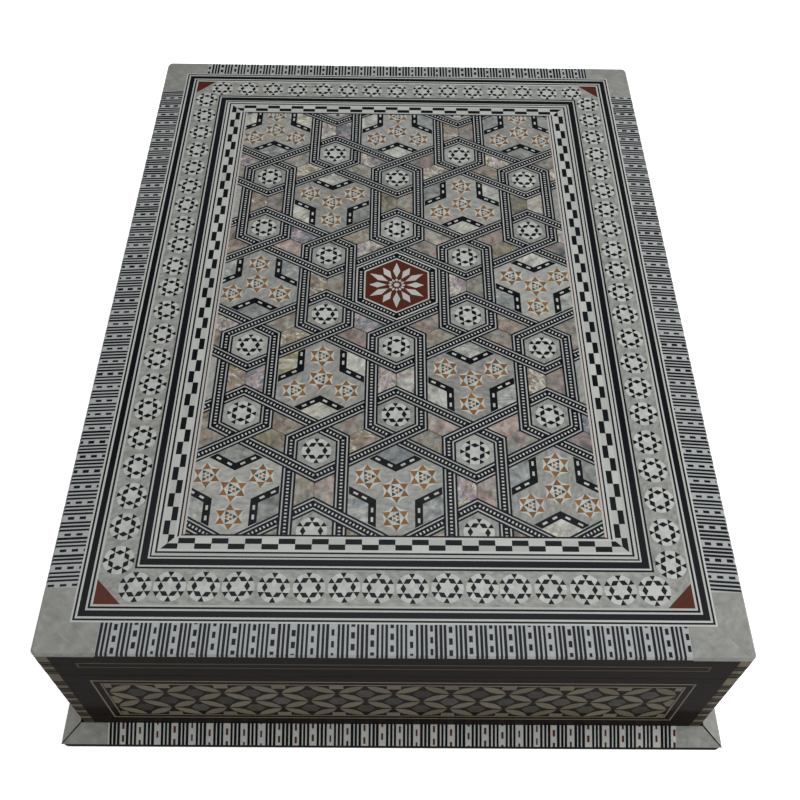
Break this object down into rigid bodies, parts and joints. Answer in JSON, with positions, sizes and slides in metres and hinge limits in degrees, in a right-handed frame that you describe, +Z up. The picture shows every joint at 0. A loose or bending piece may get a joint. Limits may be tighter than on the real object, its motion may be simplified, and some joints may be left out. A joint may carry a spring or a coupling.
{
  "type": "quran box",
  "caption": "Low rectangular wooden book box with a hinged lid, faced with geometric pearl and dark wood inlay, on a sloping mitred plinth, lined inside with velvet.",
  "frame": {"origin": "middle of the underside, on the table", "axes": "+Z up, +Y from the front to the hinged back, +X to the right as seen from the front"},
  "size_m": [0.265, 0.351, 0.078],
  "materials": {
    "core_wood": "planed beech",
    "walnut_veneer": "gloss lacquer",
    "striped_inlay": "gloss lacquer",
    "black_inlay": "gloss lacquer",
    "red_wood": "gloss lacquer",
    "pearl": "gloss lacquer over shell",
    "velvet": "velvet pile",
    "felt": "felt",
    "brass": "polished"
  },
  "bodies": {
    "body": {"base_board": "core_wood", "base_felt": "felt", "front_wall": "core_wood", "right_wall": "core_wood", "back_wall": "core_wood", "left_wall": "core_wood", "plinth_front": "striped_inlay", "plinth_right": "striped_inlay", "plinth_back": "striped_inlay", "plinth_left": "striped_inlay", "front_inlay_panel": "walnut_veneer", "right_inlay_panel": "walnut_veneer", "back_inlay_panel": "walnut_veneer", "left_inlay_panel": "walnut_veneer", "body_corner_strips": "striped_inlay", "floor_pad": "velvet", "front_lining": "velvet", "right_lining": "velvet", "back_lining": "velvet", "left_lining": "velvet", "left_lower_leaf": "brass", "right_lower_leaf": "brass", "left_hinge_pin": "brass", "right_hinge_pin": "brass", "lower_hinge_screws": "brass"},
    "lid": {"lid_board": "core_wood", "lid_front_rail": "core_wood", "lid_right_rail": "core_wood", "lid_back_rail": "core_wood", "lid_left_rail": "core_wood", "lid_front_veneer": "walnut_veneer", "lid_right_veneer": "walnut_veneer", "lid_back_veneer": "walnut_veneer", "lid_left_veneer": "walnut_veneer", "lid_corner_strips": "striped_inlay", "stripe_border_front": "striped_inlay", "stripe_border_right": "striped_inlay", "stripe_border_back": "striped_inlay", "stripe_border_left": "striped_inlay", "pearl_corner_front_left": "pearl", "pearl_corner_front_right": "pearl", "pearl_corner_back_right": "pearl", "pearl_corner_back_left": "pearl", "outer_frame": "black_inlay", "star_border": "pearl", "corner_triangles": "red_wood", "rosette_plates": "pearl", "inner_frame": "black_inlay", "checker_border": "black_inlay", "line_frame": "black_inlay", "field_panel": "pearl", "field_straps": "black_inlay", "field_tiles": "pearl", "field_shell": "pearl", "centre_medallion": "red_wood", "lid_pad": "velvet", "lid_wall_linings": "velvet", "left_upper_leaf": "brass", "right_upper_leaf": "brass", "upper_hinge_screws": "brass"}
  },
  "joints": [
    {"name": "lid_hinge", "type": "hinge", "parent": "body", "child": "lid", "pos_m": [0, 0.1654, 0.0595], "axis": [-1, 0, 0], "range_deg": [0, 100]}
  ]
}
